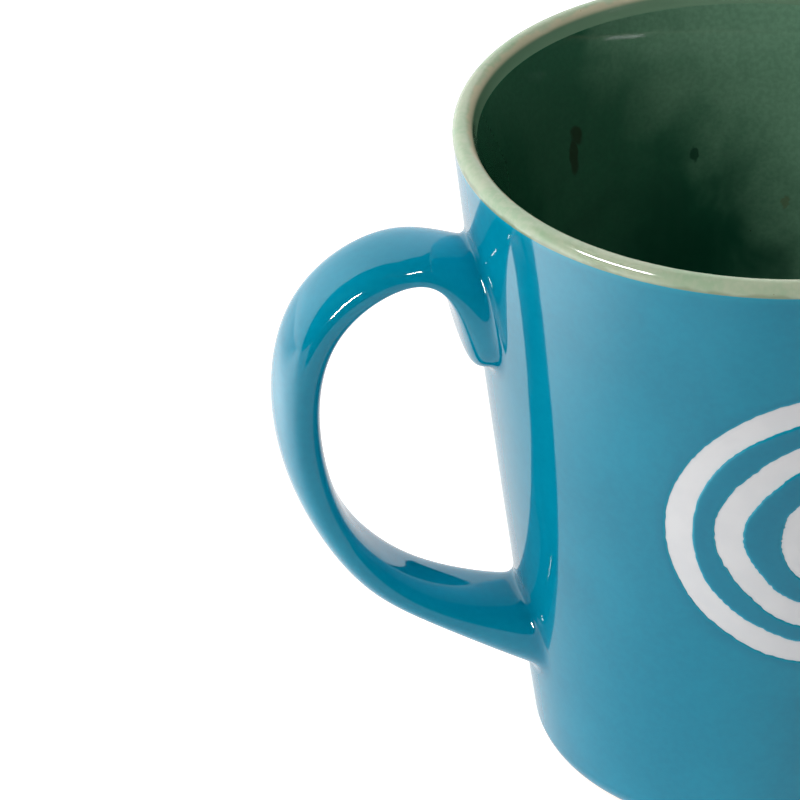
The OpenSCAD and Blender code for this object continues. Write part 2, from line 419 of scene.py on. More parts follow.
def celadon_glaze():
    look = Look("celadon_glaze", 0.08)
    inner_edge = LIP_R - LIP_T
    high = look.axis("Z")
    cloud = look.band(look.noise(9, detail=3), 0.35, 0.65)
    body = look.mix(cloud, (0.33, 0.46, 0.30), (0.42, 0.50, 0.35))
    fine = look.band(look.noise(0.9, detail=3), 0.35, 0.7)
    body = look.tint(body, fine, 0.3, (0.55, 0.56, 0.42))
    # The band's lower edge outside is darker, the inner edge is worn to cream, and below that it turns green.
    uneven = look.plus(high, look.band(look.noise(4), 0.3, 0.7, -0.3, 0.3))
    low_edge = look.band(uneven, BAND_Z + 0.75, BAND_Z + 0.1)
    body = look.tint(body, low_edge, 0.75, (0.22, 0.27, 0.16))
    radius = look.length(look.axis("X"), look.axis("Y"))
    wander = look.plus(radius, look.band(look.noise(3, detail=3), 0.3, 0.7, -0.35, 0.35))
    cream = look.band(wander, inner_edge + 1.1, inner_edge + 0.4, 0, 0.7)
    body = look.mix(cream, body, (0.60, 0.52, 0.36))
    inside = look.times(look.band(wander, inner_edge + 0.75, inner_edge + 0.3),
                        look.band(high, CUP_H - 0.5, CUP_H - 1.2))
    body = look.tint(body, inside, 0.9, (0.13, 0.28, 0.175))
    brown = look.dots(3.2, 0.16, share=0.4)
    body = look.tint(body, brown, 0.6, (0.16, 0.10, 0.03))
    look.colour(body)
    look.bump((look.noise(7, detail=1), 0.03), (look.noise(1.2, detail=1), 0.003))
    return look.material


def white_slip():
    look = Look("white_slip", 0.32)
    cloud = look.band(look.noise(5, detail=3), 0.35, 0.65)
    body = look.mix(cloud, (0.765, 0.77, 0.785), (0.80, 0.80, 0.81))
    body = look.tint(body, look.mark("thin"), 0.5, (0.45, 0.62, 0.66))
    specks = look.dots(5.5, 0.16, share=0.25)
    body = look.tint(body, specks, 0.5, (0.35, 0.38, 0.36))
    look.colour(body)
    look.bump((look.noise(4, detail=1), 0.03), (look.noise(0.5), 0.003))
    return look.material


def stoneware_clay():
    look = Look("stoneware_clay", 0.75)
    cloud = look.band(look.noise(6, detail=4), 0.35, 0.65)
    body = look.mix(cloud, (0.50, 0.38, 0.26), (0.60, 0.48, 0.34))
    grit = look.dots(1.1, 0.13, share=0.35)
    body = look.tint(body, grit, 0.7, (0.16, 0.09, 0.05))
    sand = look.band(look.noise(0.45), 0.3, 0.7)
    body = look.tint(body, sand, 0.25, (0.72, 0.62, 0.48))
    look.colour(body)
    look.bump((look.noise(0.6, detail=3), 0.06), (grit, -0.05))
    return look.material


def studio_floor():
    """A pale floor with painted light: it glows with light of its own where the paper is lit, on the left and
    behind the cup.
    """
    look = Look("studio_floor", 0.6)
    shade = look.band(look.noise(220), 0.3, 0.7)
    look.colour(look.mix(shade, (0.90, 0.90, 0.90), (0.92, 0.92, 0.92)))
    on_left = look.band(look.axis("X"), -30, 70, 1, 0)
    behind = look.band(look.axis("Y"), 20, 60)
    look.shine(look.times(look.math("MAXIMUM", on_left, behind), FLOOR_GLOW))
    return look.material


def lit_paper():
    """Painted reflection: how bright the paper under the cup looks in its glaze, given as a glow of its own,
    brightest by the lamp on the left.
    """
    look = Look("lit_paper", 1.0)
    x, y = look.axis("X"), look.axis("Y")
    beside = look.plus(look.band(x, -30, -100, 0, 0.3), look.band(y, -60, 60, 0.68, 1.0))
    along = look.math("ABSOLUTE", look.minus(y, 20))
    spot = look.times(look.band(x, -90, -180, 0, 1.9), look.band(along, 190, 30))
    # Painted shadow: the cup shades the paper just behind its foot.
    shade = look.times(look.band(look.length(x, y), 40, 62, 0.75, 0), look.band(y, 15, 35))
    look.colour((0, 0, 0, 1))
    look.surface.inputs["Specular IOR Level"].default_value = 0
    look.shine(look.times(look.plus(beside, spot), look.minus(1, shade)))
    return look.material


TEAL_LOOK = teal_glaze()
GREEN_LOOK = green_glaze()
CELADON_LOOK = celadon_glaze()
WHITE_LOOK = white_slip()
CLAY_LOOK = stoneware_clay()


# ---- The wall's glaze, with gaps for the white lines ----

def wall_frame(angle, z):
    """Points on the wall, and the wall's directions there: outwards, round and up."""
    slope = outer_slope(z)[..., None]
    radial = outward(angle)
    length = np.sqrt(1 + slope ** 2)
    out = (radial - slope * UP) / length
    up = (slope * radial + UP) / length
    around = np.stack([np.cos(angle), np.sin(angle), np.zeros_like(angle)], axis=-1)
    return outer_r(z)[..., None] * radial + z[..., None] * UP, out, around, up


def smooth_loop(angle, radii):
    """A closed line of few waves through radii given at even steps of angle."""
    terms = np.fft.rfft(radii) / len(radii)
    last = len(terms) - 1
    return sum((1 if order in (0, last) else 2) * (term * np.exp(1j * order * angle)).real
               for order, term in enumerate(terms))


def line_edges(ray_angle):
    """Radii of the lines' edges and of the dot's along rays from the rings' centre, from the outermost in."""
    edges = []
    for number, radii in enumerate(DRAWN_EDGES):
        wobble = wave(ray_angle, range(7, 18), 0.04, 50 + number)
        ragged = wave(ray_angle, range(30, 100), 0.04, 60 + number)
        edges.append(smooth_loop(ray_angle, radii) + wobble + ragged)
    edges.append(DOT_R + wave(ray_angle, range(2, 6), 0.12, 80) + wave(ray_angle, range(8, 20), 0.04, 81))
    return edges


def edge_profile(distance):
    """Height of the teal glaze and its slope at a distance from a white line: it rounds down to the line."""
    t = np.clip(1 - distance / EDGE_W, 0, 0.995)
    round_off = np.sqrt(1 - t ** 2)
    return EDGE_DROP * (round_off - 1), EDGE_DROP / EDGE_W * t / round_off


def ring_stations(outer, inner, outer_is_line):
    """Distances from the centre, row by row from outer to inner, fine next to a white line."""
    fine = np.array([0, 0.06, 0.14, 0.26, 0.42, 0.65])
    inner_rows = inner[None, :] + fine[::-1, None]
    outer_rows = outer[None, :] - (fine[:, None] if outer_is_line else 0)
    steps = 3 if outer_is_line else 5
    share = np.linspace(0, 1, steps + 1)[1:-1, None]
    middle_rows = outer_rows[-1] + (inner_rows[0] - outer_rows[-1]) * share
    return np.vstack([outer_rows, middle_rows, inner_rows])


def patch_points(ray_angle, stations):
    """Wall positions of points at distances from the rings' centre along rays."""
    across = stations * np.cos(ray_angle)
    rise = stations * np.sin(ray_angle)
    return wall_frame(across / MOTIF_ARC_R, MOTIF_Z + rise)


def teal_ring(ray_angle, outer, inner, outer_is_line):
    """One stretch of teal glaze between two lines, or between the outermost line and the patch's border."""
    stations = ring_stations(outer, inner, outer_is_line)
    points, out, around, up = patch_points(ray_angle, stations)
    gap = stations - inner
    drop, tilt = edge_profile(gap)
    if outer_is_line:
        far_gap = outer - stations
        far_drop, far_tilt = edge_profile(far_gap)
        drop, tilt = drop + far_drop, tilt - far_tilt
        gap = np.minimum(gap, far_gap)
    away = np.cos(ray_angle)[None, :, None] * around + np.sin(ray_angle)[None, :, None] * up
    normals = out - tilt[..., None] * away
    normals /= np.linalg.norm(normals, axis=-1, keepdims=True)
    # The glaze is thin at a line's edge, and it pools just beside the edge and between two lines.
    thin = np.clip(1 - gap / 0.35, 0, 1)
    pooled = np.clip(1 - np.abs(gap - 0.9) / 0.6, 0, 1) * 0.6
    if outer_is_line:
        pooled = np.maximum(pooled, 0.45 * (gap > 0.9))
    return {"front": points + drop[..., None] * out, "back": points - GLAZE_T * out, "normals": normals,
            "thin": thin, "pooled": pooled}


def wall_sheet(angle, low, high):
    """The wall's glaze as rows of points from the foot up, with the patch's rows from low to high."""
    start = -np.arcsin((FOOT_ROUND - GLAZE_LINE) / FOOT_ROUND)
    foot = arc((FOOT_C, FOOT_ROUND), FOOT_ROUND, start, -TAPER, 7)[:-1]
    foot_out = (foot - (FOOT_C, FOOT_ROUND)) / FOOT_ROUND
    below = np.linspace(FOOT_TOP, low, 26)[:-1]
    above = np.linspace(high, BAND_Z, 14)[1:]
    z = np.concatenate([below, np.linspace(low, high, PATCH_ROWS + 1), above])
    points, out, _, _ = wall_frame(np.broadcast_to(angle, (len(z), len(angle))),
                                   np.broadcast_to(z[:, None], (len(z), len(angle))))
    radial = outward(angle)
    points = np.vstack([foot[:, :1, None] * radial + foot[:, 1:, None] * UP, points])
    out = np.vstack([foot_out[:, :1, None] * radial + foot_out[:, 1:, None] * UP, out])
    return points, out, len(foot) + len(below)


def build_wall():
    """The teal glaze on the wall. A patch of rings, cut out of an even sheet, leaves room for the lines."""
    columns = 360
    angle = np.radians(np.arange(columns) - columns // 2)
    points, out, first_row = wall_sheet(angle, MOTIF_Z - PATCH_HALF_H, MOTIF_Z + PATCH_HALF_H)
    last_row = first_row + PATCH_ROWS
    first_column, last_column = columns // 2 - PATCH_ANGLE, columns // 2 + PATCH_ANGLE
    rows = len(points)
    faces = sheet_faces(rows, columns).reshape(rows - 1, columns, 4)
    keep = np.ones((rows - 1, columns), bool)
    keep[first_row:last_row, first_column:last_column] = False

    # The patch's border, anticlockwise seen from outside, as rows and columns of the sheet.
    bottom = [(first_row, c) for c in range(first_column, last_column)]
    right = [(r, last_column) for r in range(first_row, last_row)]
    top = [(last_row, c) for c in range(last_column, first_column, -1)]
    left = [(r, first_column) for r in range(last_row, first_row, -1)]
    border = np.array(bottom + right + top + left)
    across = angle[border[:, 1]] * MOTIF_ARC_R
    rise = points[border[:, 0], 0, 2] - MOTIF_Z
    ray_angle = np.arctan2(rise, across)
    edges = line_edges(ray_angle)

    top_gap = BAND_Z - points[..., 2].ravel()
    parts = {"front": [points.reshape(-1, 3)], "back": [(points - GLAZE_T * out).reshape(-1, 3)],
             "normals": [out.reshape(-1, 3)], "thin": [np.clip(1 - top_gap / 0.9, 0, 1) * 0.5],
             "pooled": [np.zeros(rows * columns)]}
    groups = [faces[keep]]
    count = rows * columns
    stretches = [(np.hypot(across, rise), edges[0], False), (edges[1], edges[2], True),
                 (edges[3], edges[4], True), (edges[5], edges[6], True)]
    for outer, inner, outer_is_line in stretches:
        ring = teal_ring(ray_angle, outer, inner, outer_is_line)
        index = count + np.arange(ring["thin"].size).reshape(-1, len(border))
        if not outer_is_line:    # this ring's first row is the patch's border, which the sheet has already
            index = index - len(border)
            index[0] = border[:, 0] * columns + border[:, 1]
            ring = {key: values[1:] for key, values in ring.items()}
        groups.append(faces_between(index))
        for key, values in ring.items():
            parts[key].append(values.reshape(-1, 3) if values.ndim == 3 else values.ravel())
        count += ring["thin"].size
    # Points inside the patch, which no face uses, are left out.
    used = np.unique(np.concatenate([group.ravel() for group in groups]))
    renumber = np.zeros(count, int)
    renumber[used] = np.arange(len(used))
    part = {key: np.concatenate(values)[used] for key, values in parts.items()}
    points, normals, groups = closed_coat(part["front"], part["back"], part["normals"],
                                          [renumber[group] for group in groups])
    marks = {key: np.tile(part[key], 2) for key in ("thin", "pooled")}
    new_piece("wall_glaze", points, groups, ["outer_glaze"], TEAL_LOOK, normals, marks)
    return ray_angle, edges


def white_marks(gap):
    """The mark that lets the teal show through a white line near its edges, for the front and the back."""
    return {"thin": np.tile(np.clip(1 - gap / 0.3, 0, 1).ravel(), 2)}


def build_lines(ray_angle, edges):
    """The three white lines, each a thin coat that runs in under the teal glaze on both sides."""
    share = np.linspace(0, 1, 11)[:, None]
    crown = 0.04 * np.sin(np.pi * share) ** 2
    for name, outer, inner in zip(("outer", "middle", "inner"), edges[0:6:2], edges[1:6:2]):
        stations = (outer + TUCK) + (inner - outer - 2 * TUCK) * share
        points, out, _, _ = patch_points(ray_angle, stations)
        front = points + (crown - WHITE_DEPTH)[..., None] * out
        back = points - GLAZE_T * out
        points, normals, groups = closed_coat(front.reshape(-1, 3), back.reshape(-1, 3), out.reshape(-1, 3),
                                              [sheet_faces(*stations.shape)])
        new_piece(f"{name}_white_line", points, groups, [f"ring_{name}"], WHITE_LOOK, normals,
                  white_marks(np.minimum(stations - inner, outer - stations)))


def build_dot():
    """The white dot at the rings' centre: rays that meet in one point."""
    rays = 72
    ray_angle = np.arange(rays) * 2 * np.pi / rays
    edge = line_edges(ray_angle)[-1]
    stations = (edge + TUCK) * np.linspace(1, 0, 9)[:-1, None]
    points, out, _, _ = patch_points(ray_angle, stations)
    centre, centre_out, _, _ = wall_frame(np.zeros(1), np.full(1, MOTIF_Z))
    points, out = np.vstack([points.reshape(-1, 3), centre]), np.vstack([out.reshape(-1, 3), centre_out])
    column = np.arange(rays)
    last = stations.size - rays
    fan = np.stack([last + column, last + (column + 1) % rays, np.full(rays, stations.size)], axis=-1)
    points, normals, groups = closed_coat(points - WHITE_DEPTH * out, points - GLAZE_T * out, out,
                                          [sheet_faces(*stations.shape), fan])
    new_piece("white_dot", points, groups, ["ring_dot"], WHITE_LOOK, normals,
              white_marks(np.append(edge - stations, DOT_R)))


# ---- The lip, the inside and the foot ----

def profile(radius, z, inset=0):
    """Points of the cup's outline where a function gives the radius at each height."""
    return np.column_stack([radius(z) + inset, z])


def build_lip():
    """The pale band over the lip, a closed ring with its back set into the wall."""
    outer_z = np.linspace(BAND_Z, LIP_Z, 4)[:-1]
    inner_z = np.linspace(LIP_Z, LINER_TOP, 4)[1:]
    centre = (LIP_R - LIP_HALF, LIP_Z)
    over = arc(centre, LIP_HALF, 0, np.pi - 0.2, 24)     # stops early, to run smoothly into the flare
    under = arc(centre, LIP_HALF - GLAZE_T, np.pi, 0, 12)
    outline = np.vstack([profile(outer_r, outer_z), over, profile(inner_r, inner_z),
                         profile(inner_r, inner_z[::-1], GLAZE_T), under,
                         profile(outer_r, outer_z[::-1], -GLAZE_T)])
    points, faces = turned_ring(outline, 360)
    new_piece("lip_glaze", points, faces, ["rim_glaze"], CELADON_LOOK)


def build_liner():
    """The green glaze inside, from just below the lip down over the rounding to the floor's centre."""
    wall = profile(inner_r, np.linspace(ROUND_TOP, LINER_TOP, 60))
    centre = (ROUND_C, FLOOR_Z + FLOOR_ROUND)
    front_round = arc(centre, FLOOR_ROUND, -np.pi / 2, -TAPER, 14)[:-1]
    back_round = arc(centre, FLOOR_ROUND + GLAZE_T, -np.pi / 2, -TAPER, 14)[:-1]
    floor_r = np.linspace(0, ROUND_C, 16)[:-1]
    floor = np.column_stack([floor_r, np.full_like(floor_r, FLOOR_Z)])
    front = np.vstack([floor, front_round, wall])
    back = np.vstack([floor - (0, GLAZE_T), back_round, wall + (GLAZE_T, 0)])
    points, faces = turned_solid(np.vstack([back, front[::-1]]), 240)
    new_piece("inside_glaze", points, faces, ["liner_glaze"], GREEN_LOOK)


def build_body():
    """The clay cup: mostly under glaze, bare on its foot ring, with the turning tool's fine grooves."""
    ring_inside = FOOT_C - GLAZE_T - RING_W
    bevel = 0.12         # how high the foot ring's two edges are rounded up
    recess = [(0, RECESS_D), (ring_inside - RECESS_D, RECESS_D),
              (ring_inside - 0.3 * RECESS_D, 0.35 * RECESS_D), (ring_inside, bevel)]
    ring_r = np.linspace(ring_inside + 0.3, FOOT_C - GLAZE_T - 0.2, 15)
    grooves = 0.04 * (1 - np.cos(np.linspace(0, 8 * np.pi, 15))) / 2
    foot = arc((FOOT_C, FOOT_ROUND), FOOT_ROUND - GLAZE_T, 0.25 - np.pi / 2, -TAPER, 12)
    over = arc((LIP_R - LIP_HALF, LIP_Z), LIP_HALF - GLAZE_T, 0, np.pi, 10)[1:]
    rounding = arc((ROUND_C, FLOOR_Z + FLOOR_ROUND), FLOOR_ROUND + GLAZE_T, -TAPER, -np.pi / 2, 10)
    outline = np.vstack([
        recess,
        np.column_stack([ring_r, grooves]),
        [(FOOT_C - 0.1, bevel)],
        foot,
        profile(outer_r, np.linspace(FOOT_TOP, LIP_Z, 30)[1:], -GLAZE_T),
        over,
        profile(inner_r, np.linspace(LIP_Z, ROUND_TOP, 30), GLAZE_T),
        rounding,
        [(0, FLOOR_Z - GLAZE_T)]])
    points, faces = turned_solid(outline, 240)
    new_piece("clay_cup", points, faces, ["cup_body"], CLAY_LOOK)


def build_foot_disc():
    """The teal glaze in the recess under the foot, rounded down at its edge."""
    edge = FOOT_C - GLAZE_T - RING_W - RECESS_D - GLAZE_T
    radius = np.append(np.linspace(0, edge - 1, 22), edge - np.array([0.6, 0.32, 0.16, 0.06, 0.0]))
    t = np.clip(1 - (edge - radius) / 0.6, 0, 1)
    sink = np.maximum(GLAZE_T * np.sqrt(1 - t ** 2), 0.02)
    top = RECESS_D + 0.1
    outline = np.vstack([np.column_stack([radius, RECESS_D - sink]), [(edge, top), (0, top)]])
    points, faces = turned_solid(outline, 180)
    marks = {"thin": np.zeros(len(points)), "pooled": np.zeros(len(points))}
    new_piece("foot_disc_glaze", points, faces, ["foot_glaze"], TEAL_LOOK, None, marks)


# ---- The handle's glaze ----

class Curve:
    """A curve with even curvature through its points (a natural cubic spline), at places from 0 to 1."""

    def __init__(self, points):
        self.points = np.array(points, float).reshape(len(points), -1)
        self.spans = len(self.points) - 1
        system = np.eye(self.spans + 1)
        bend = np.zeros_like(self.points)
        for i in range(1, self.spans):
            system[i, i - 1:i + 2] = 1, 4, 1
            bend[i] = 6 * (self.points[i - 1] - 2 * self.points[i] + self.points[i + 1])
        self.bend = np.linalg.solve(system, bend)

    def __call__(self, place, order=0):
        """The curve's points, or its first or second derivative by place."""
        i = np.clip(np.floor(place * self.spans).astype(int), 0, self.spans - 1)
        t = (place * self.spans - i)[..., None]
        s = 1 - t
        start, end = self.points[i], self.points[i + 1]
        start_bend, end_bend = self.bend[i], self.bend[i + 1]
        if order == 0:
            return s * start + t * end + ((s ** 3 - s) * start_bend + (t ** 3 - t) * end_bend) / 6
        if order == 1:
            bent = (1 - 3 * s ** 2) * start_bend + (3 * t ** 2 - 1) * end_bend
            return self.spans * (end - start + bent / 6)
        return self.spans ** 2 * (s * start_bend + t * end_bend)


def cross(a, b):
    return a[:, 0] * b[:, 1] - a[:, 1] * b[:, 0]


def map_grid():
    """Points a millimetre apart over the handle's plane, for a coarse map, and even places to choose from."""
    x, z = np.meshgrid(*(np.arange(low, high) for low, high in zip(MAP_LOW, MAP_HIGH)), indexing="ij")
    return x[..., None], z[..., None], np.linspace(0, 1, 400)


def look_up(coarse, flat):
    """What a coarse map holds at points of the handle's plane."""
    cell = np.clip(np.round(flat - MAP_LOW).astype(int), 0, np.array(coarse.shape) - 1)
    return coarse[cell[:, 0], cell[:, 1]]


def stepped(place, step):
    return np.clip(place + np.clip(step, -LONGEST_STEP, LONGEST_STEP), 0, 1)


class Rail:
    """One edge of the strap in the handle's plane, run on straight at both ends into the wall."""

    def __init__(self, points):
        points = np.array(points, float)
        self.count = len(points)
        self.curve = Curve(np.vstack([2 * points[0] - points[1], points, 2 * points[-1] - points[-2]]))
        x, z, places = map_grid()
        at = self.curve(places)
        self.nearest = places[np.hypot(x - at[:, 0], z - at[:, 1]).argmin(axis=-1)]

    def measure(self, flat):
        """Each point's signed distance from the rail, and its place along the lengthened rail."""
        place = look_up(self.nearest, flat)
        for _ in range(NEWTON_STEPS):
            off = flat - self.curve(place)
            along = self.curve(place, 1)
            miss = (off * along).sum(axis=1)
            rate = (along ** 2).sum(axis=1) - (off * self.curve(place, 2)).sum(axis=1)
            rate = np.maximum(rate, 0.2 * (along ** 2).sum(axis=1))
            place = stepped(place, miss / rate)
        off = flat - self.curve(place)
        along = self.curve(place, 1)
        along /= np.linalg.norm(along, axis=1, keepdims=True)
        return cross(off, along), place


class Strap:
    """The handle's strap as a field. Straight rulings join its two rails at the same places."""

    def __init__(self):
        self.far = Rail(STRAP_OUTSIDE)
        self.near = Rail(STRAP_INSIDE)
        self.wide = Curve(STRAP_HALF_WIDTHS)
        x, z, places = map_grid()
        start = self.near.curve(places)
        chord = self.far.curve(places) - start
        off_x, off_z = x - start[:, 0], z - start[:, 1]
        share = np.clip((off_x * chord[:, 0] + off_z * chord[:, 1]) / (chord ** 2).sum(axis=1), -0.1, 1.1)
        gap = np.hypot(off_x - share * chord[:, 0], off_z - share * chord[:, 1])
        self.nearest = places[gap.argmin(axis=-1)]

    def section(self, flat):
        """Where points of the handle's plane lie in the strap's cross-section.

        The four answers: how far across from its middle, half its thickness, half its width, and how fast the
        first one grows.
        """
        past, near_place = self.near.measure(flat)
        place = look_up(self.nearest, flat)
        for _ in range(NEWTON_STEPS):
            far, near = self.far.curve(place), self.near.curve(place)
            far_step, near_step = self.far.curve(place, 1), self.near.curve(place, 1)
            chord, along = far - near, (far_step + near_step) / 2
            off = flat - (far + near) / 2
            plain_rate = -cross(along, chord)
            rate = plain_rate + cross(off, far_step - near_step)
            rate = np.where(rate / plain_rate > 0.2, rate, 0.2 * plain_rate)
            place = stepped(place, -cross(off, chord) / rate)
        # In the opening the rulings may cross, so the nearest place on the near rail counts there.
        beyond = past > 0
        place = np.where(beyond, near_place, place)
        far, near = self.far.curve(place), self.near.curve(place)
        chord = far - near
        length = np.linalg.norm(chord, axis=1)
        across = ((flat - (far + near) / 2) * chord).sum(axis=1) / length
        w = np.clip(2 * across / length, -1.5, 1.5)[:, None]
        along = (1 + w) / 2 * self.far.curve(place, 1) + (1 - w) / 2 * self.near.curve(place, 1)
        growth = np.linalg.norm(along, axis=1) * length / np.maximum(np.abs(cross(along, chord)), 1e-6)
        across = np.where(beyond, -length / 2 - past, across)
        growth = np.where(beyond, 1, np.minimum(growth, 3))
        wide_place = np.clip((place * (self.near.count + 1) - 1) / (self.near.count - 1), 0, 1)
        return across, length / 2, self.wide(wide_place)[:, 0], growth

    @staticmethod
    def distance(across, half, wide, growth, y):
        """About how far points lie from the strap's rounded cross-section."""
        w, v = across / half, y / wide
        k = np.where(w >= 0, OUTER_ROUND, INNER_ROUND)
        size = (np.abs(w) ** k + np.abs(v) ** k + 1e-12) ** (1 / k)
        slope_w = (np.abs(w) / size) ** (k - 1) * growth / half
        slope_v = (np.abs(v) / size) ** (k - 1) / wide
        return (size - 1) / np.sqrt(slope_w ** 2 + slope_v ** 2)

    def at(self, points):
        """About how far points in space lie from the strap's surface."""
        return self.distance(*self.section(np.column_stack([-points[:, 0], points[:, 2]])), points[:, 1])


def wall_distance(points):
    """About how far points lie outwards from the wall's surface."""
    return (np.hypot(points[:, 0], points[:, 1]) - outer_r(points[:, 2])) * np.cos(TAPER)


def fillet_share(strap, wall):
    """1 where the distances from the strap and the wall are the same, down to 0 at the fillet's edges."""
    return np.clip(1 - np.abs(strap - wall) / FILLET, 0, None)


def blended(strap, wall):
    """The two distances joined, with a smooth fillet where both are small."""
    return np.minimum(strap, wall) - fillet_share(strap, wall) ** 3 * FILLET / 6


def gradient(field, points):
    """How fast a field grows along each axis."""
    step = 0.01
    sides = [field(points + step * axis) - field(points - step * axis) for axis in np.eye(3)]
    return np.column_stack(sides) / (2 * step)


def surface_net(field, low, step):
    """A quad mesh where a field on a grid changes sign: one point in each cell that the surface crosses."""
    inside = field < 0
    shape = np.array(field.shape) - 1
    total = np.zeros((*shape, 3))
    hits = np.zeros(shape)
    for axis in range(3):
        others = [a for a in range(3) if a != axis]
        for corner in ((0, 0), (1, 0), (0, 1), (1, 1)):
            start = [slice(0, n) for n in shape]
            for a, c in zip(others, corner):
                start[a] = slice(c, shape[a] + c)
            end = list(start)
            end[axis] = slice(1, shape[axis] + 1)
            a_value, b_value = field[tuple(start)], field[tuple(end)]
            crossing = inside[tuple(start)] != inside[tuple(end)]
            share = np.where(crossing, a_value / np.where(crossing, a_value - b_value, 1), 0)
            offset = np.zeros((*shape, 3))
            offset[..., axis] = share
            for a, c in zip(others, corner):
                offset[..., a] = c
            total += np.where(crossing[..., None], offset, 0)
            hits += crossing
    filled = hits > 0
    number = np.full(shape, -1)
    number[filled] = np.arange(filled.sum())
    points = low + step * (np.argwhere(filled) + total[filled] / hits[filled][:, None])
    groups = []
    for axis in range(3):
        b, c = (axis + 1) % 3, (axis + 2) % 3
        start = [slice(1, -1)] * 3
        start[axis] = slice(0, -1)
        end = list(start)
        end[axis] = slice(1, None)
        crossing = np.argwhere(inside[tuple(start)] != inside[tuple(end)])
        crossing[:, b] += 1
        crossing[:, c] += 1
        leaving = inside[tuple(crossing.T)]
        corners = []
        for db, dc in ((-1, -1), (0, -1), (0, 0), (-1, 0)):
            at = crossing.copy()
            at[:, b] += db
            at[:, c] += dc
            corners.append(number[tuple(at.T)])
        quads = np.stack(corners, axis=-1)
        quads[~leaving] = quads[~leaving][:, ::-1]       # so that every face looks outwards
        groups.append(quads)
    return points, np.vstack(groups)


def handle_net(strap):
    """A first mesh of the handle's glaze, with its ends cut off a little way inside the wall."""
    low = np.array([-77.0, -13.0, 10.0])
    high = np.array([-30.0, 13.0, 96.0])
    axes = [np.arange(a, b, NET_STEP) for a, b in zip(low, high)]
    x, z = np.meshgrid(axes[0], axes[2], indexing="ij")
    section = strap.section(np.column_stack([-x.ravel(), z.ravel()]))
    y = axes[1][None, :, None]
    strap_field = strap.distance(*(part.reshape(x.shape)[:, None, :] for part in section), y)
    radius = np.hypot(axes[0][:, None, None], y)
    wall_field = (radius - outer_r(axes[2])[None, None, :]) * np.cos(TAPER)
    joined = blended(strap_field, wall_field + SEAM_DROP)
    field = np.maximum(np.maximum(joined, -(wall_field + ROOT_DEPTH)), strap_field - FILLET)
    return surface_net(field, low, NET_STEP)


def settled_handle(strap, points, faces):
    """Moves the mesh onto the surface and evens it out along it, so that the reflections stay calm."""
    def whole(p):
        return blended(strap.at(p), wall_distance(p) + SEAM_DROP)

    def settle(times):
        for _ in range(times):
            slope = gradient(whole, points[free])
            points[free] -= (whole(points[free]) / (slope ** 2).sum(axis=1))[:, None] * slope

    margin = 0.3         # from the edges that are cut off or run in under the wall's glaze, which stay put
    free = ((np.abs(whole(points)) < NET_STEP) & (wall_distance(points) > -margin)
            & (strap.at(points) < FILLET - margin))
    settle(3)
    edge_a, edge_b = faces.ravel(), np.roll(faces, -1, axis=1).ravel()
    for _ in range(4):
        total = np.zeros_like(points)
        count = np.zeros(len(points))
        np.add.at(total, edge_a, points[edge_b])
        np.add.at(total, edge_b, points[edge_a])
        np.add.at(count, edge_a, 1)
        np.add.at(count, edge_b, 1)
        points[free] += 0.5 * (total[free] / count[free][:, None] - points[free])
        settle(1)
    settle(1)
    return points


def build_handle():
    strap = Strap()
    points, faces = handle_net(strap)
    points = settled_handle(strap, points, faces)
    # Normals from the two fields. At the fillet's edge they turn fully into the wall's own.
    strap_d, wall_d = strap.at(points), wall_distance(points) + SEAM_DROP
    h = fillet_share(strap_d, wall_d)
    share = 0.5 * h ** 2
    edge_share = 0.5 * (6 * SEAM_DROP / FILLET) ** (2 / 3)
    near_wall = np.clip((share - edge_share) / (0.5 - edge_share), 0, 1) * 0.5
    strap_share = np.where(strap_d > wall_d, near_wall, 1 - share)[:, None]
    strap_slope = gradient(strap.at, points)
    strap_slope /= np.linalg.norm(strap_slope, axis=1, keepdims=True)
    _, wall_out, _, _ = wall_frame(np.arctan2(points[:, 0], -points[:, 1]), points[:, 2])
    normals = strap_share * strap_slope + (1 - strap_share) * wall_out
    normals /= np.linalg.norm(normals, axis=1, keepdims=True)
    marks = {"thin": np.zeros(len(points)), "pooled": 0.6 * h * (wall_d > -0.1)}
    new_piece("handle_skin", points, [faces], ["handle_glaze"], TEAL_LOOK, normals, marks)


ray_angle, edges = build_wall()
build_lines(ray_angle, edges)
build_dot()
build_lip()
build_liner()
build_body()
build_foot_disc()
build_handle()

for hidden_clay in ("handle", "upper_joint_slip", "lower_joint_slip"):
    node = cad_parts[hidden_clay]
    node.data.materials.clear()
    node.data.materials.append(CLAY_LOOK)


# ---- Studio ----

# The backdrop's upper edge as azimuth and elevation in degrees: high behind and on the left, and below the
# cup in front. The first two are the curve's ends. The points were chosen by hand, from a script's map of
# what the glaze in the photograph reflects.
BACKDROP_EDGE = [(-180, 60), (180, 60), (-150, 53), (-130, 45), (-110, 28), (-95, 11), (-85, -2), (-75, -8),
                 (-60, -15), (-45, -22), (-30, -30), (0, -33), (60, -30), (139, -26), (147, -10), (151, 40),
                 (155, 53)]
KEY = 15             # strengths in watts a square metre of lamp
TOP = 12
STRIP = 500
MIDDLE = (0, 0, CUP_H * MM / 2)          # what the lamps point at, in metres
HANDLE_TOP = (-0.065, 0, 0.085)
FAR_INSIDE = (-0.015, 0.04, 0.1)


def staged(name, points, faces, look):
    """An object of the studio, in metres."""
    mesh = bpy.data.meshes.new(name)
    mesh.from_pydata(points.tolist(), [], faces.tolist())
    mesh.materials.append(look)
    thing = bpy.data.objects.new(name, mesh)
    bpy.context.scene.collection.objects.link(thing)
    return thing


def build_floor():
    half, cells = 3.0, 24
    edge = np.linspace(-half, half, cells + 1)
    x, y = np.meshgrid(edge, edge, indexing="ij")
    points = np.column_stack([x.ravel(), y.ravel(), np.zeros(x.size)])
    faces = sheet_faces(cells + 1, cells + 1, wrap=False)[:, ::-1]
    staged("studio_floor", points, faces, studio_floor()).visible_glossy = False


